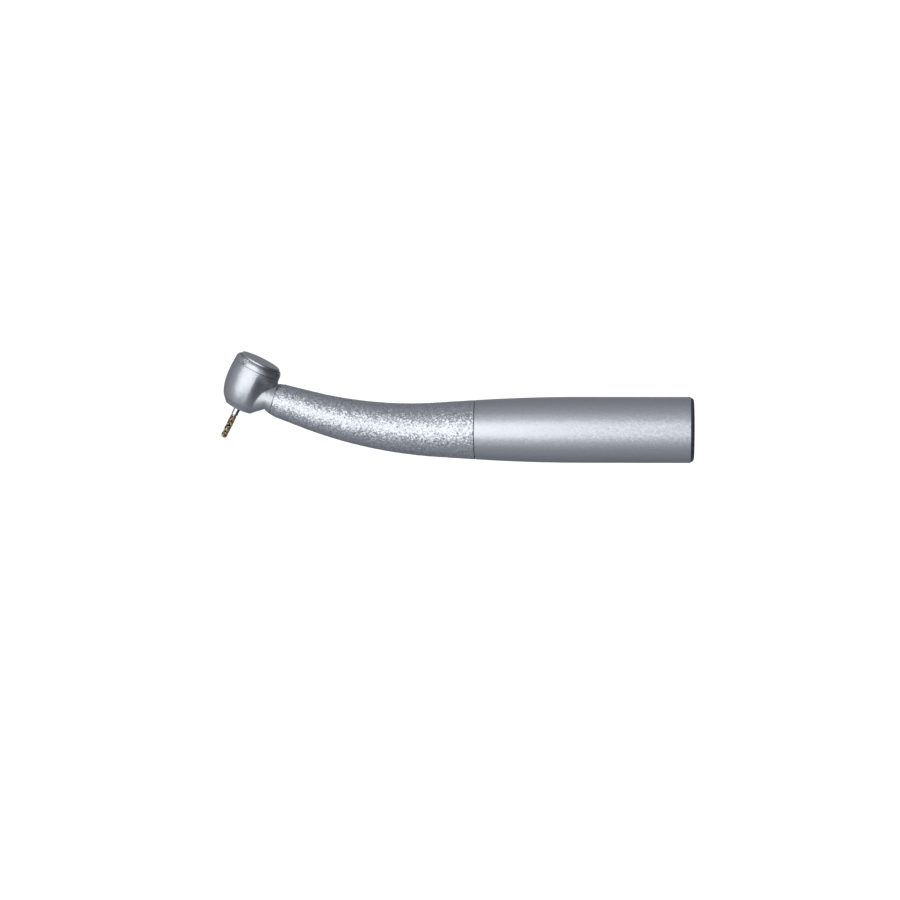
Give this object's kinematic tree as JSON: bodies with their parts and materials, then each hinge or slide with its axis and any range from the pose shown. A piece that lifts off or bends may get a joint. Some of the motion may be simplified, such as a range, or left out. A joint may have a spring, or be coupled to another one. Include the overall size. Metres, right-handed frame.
{
  "type": "high speed dental handpiece",
  "caption": "Air-turbine dental handpiece with a tilted push-button head, diamond bur, curved grained grip and quick-coupling socket.",
  "frame": {"origin": "centre of the coupling socket's mouth, in the plane of the tail face", "axes": "+X out of the tail along the straight handle, +Z towards the head's button side, head towards -X"},
  "size_m": [0.115, 0.016, 0.0271],
  "materials": {
    "satin_metal": "fine satin, bead blasted and plasma coated",
    "grained_metal": "coarse sparkling non-slip grain",
    "polished_steel": "turned and polished",
    "aluminium_bronze": "machined",
    "brass": "turned",
    "black_polymer": "satin black",
    "rubber_seal": "smooth",
    "ceramic": "polished silicon nitride",
    "cage_polymer": "machined",
    "light_glass": "polished",
    "diamond_grit": "diamond particles in a pale gold bond"
  },
  "bodies": {
    "handle": {"head_housing": "satin_metal", "head_cap": "satin_metal", "button_spring": "polished_steel", "rear_bearing_carrier": "polished_steel", "preload_washer": "polished_steel", "front_bearing_oring": "rubber_seal", "rear_bearing_oring": "rubber_seal", "front_bearing_outer_race": "polished_steel", "rear_bearing_outer_race": "polished_steel", "light_window": "light_glass", "neck_core": "brass", "neck_oring": "rubber_seal", "grip_sleeve": "grained_metal", "tube_support_plate": "brass", "drive_air_tube": "polished_steel", "spray_air_tube": "polished_steel", "water_tube_rear": "polished_steel", "water_tube_front": "polished_steel", "light_guide_rod": "light_glass", "rear_sleeve": "satin_metal", "tail_ring": "black_polymer", "coupling_body": "polished_steel", "coupling_snap_ring": "polished_steel", "sleeve_joint_ring": "brass", "sleeve_joint_oring": "rubber_seal", "check_valve_body": "brass", "check_valve_flap": "rubber_seal"},
    "button": {"push_button": "satin_metal", "button_clip": "polished_steel"},
    "rotor": {"rotor_spindle": "polished_steel", "turbine_impeller": "aluminium_bronze", "chuck_collet": "polished_steel", "chuck_spring": "polished_steel", "front_bearing_inner_race": "polished_steel", "rear_bearing_inner_race": "polished_steel"},
    "front_cage": {"front_bearing_cage": "cage_polymer", "front_bearing_ball_1": "ceramic", "front_bearing_ball_2": "ceramic", "front_bearing_ball_3": "ceramic", "front_bearing_ball_4": "ceramic", "front_bearing_ball_5": "ceramic", "front_bearing_ball_6": "ceramic", "front_bearing_ball_7": "ceramic"},
    "rear_cage": {"rear_bearing_cage": "cage_polymer", "rear_bearing_ball_1": "ceramic", "rear_bearing_ball_2": "ceramic", "rear_bearing_ball_3": "ceramic", "rear_bearing_ball_4": "ceramic", "rear_bearing_ball_5": "ceramic", "rear_bearing_ball_6": "ceramic", "rear_bearing_ball_7": "ceramic"},
    "pusher": {"chuck_pusher": "polished_steel"},
    "bur": {"bur_shank": "polished_steel", "bur_diamond_coating": "diamond_grit"}
  },
  "joints": [
    {"name": "button_press", "type": "slide", "parent": "handle", "child": "button", "axis": [-0.4571, 0, -0.8894], "range_m": [0, 0.0008], "stiffness_N_per_m": 4000, "springref_m": -0.0008, "deforming": ["button_spring"]},
    {"name": "rotor_spin", "type": "hinge", "parent": "handle", "child": "rotor", "pos_m": [-0.11085, 0, 0.0055], "axis": [0.4571, 0, 0.8894], "continuous": true},
    {"name": "front_cage_orbit", "type": "hinge", "parent": "handle", "child": "front_cage", "pos_m": [-0.11085, 0, 0.0055], "axis": [0.4571, 0, 0.8894], "continuous": true},
    {"name": "rear_cage_orbit", "type": "hinge", "parent": "handle", "child": "rear_cage", "pos_m": [-0.11085, 0, 0.0055], "axis": [0.4571, 0, 0.8894], "continuous": true},
    {"name": "chuck_release", "type": "slide", "parent": "rotor", "child": "pusher", "axis": [-0.4571, 0, -0.8894], "range_m": [0, 0.00053], "deforming": ["chuck_spring"]},
    {"name": "bur_pull", "type": "slide", "parent": "rotor", "child": "bur", "axis": [-0.4571, 0, -0.8894], "range_m": [0, 0.0095]}
  ],
  "couplings": [
    {"joint": "front_cage_orbit", "follows": "rotor_spin", "ratio": 0.397},
    {"joint": "rear_cage_orbit", "follows": "rotor_spin", "ratio": 0.397},
    {"joint": "chuck_release", "follows": "button_press", "ratio": 0.66}
  ]
}
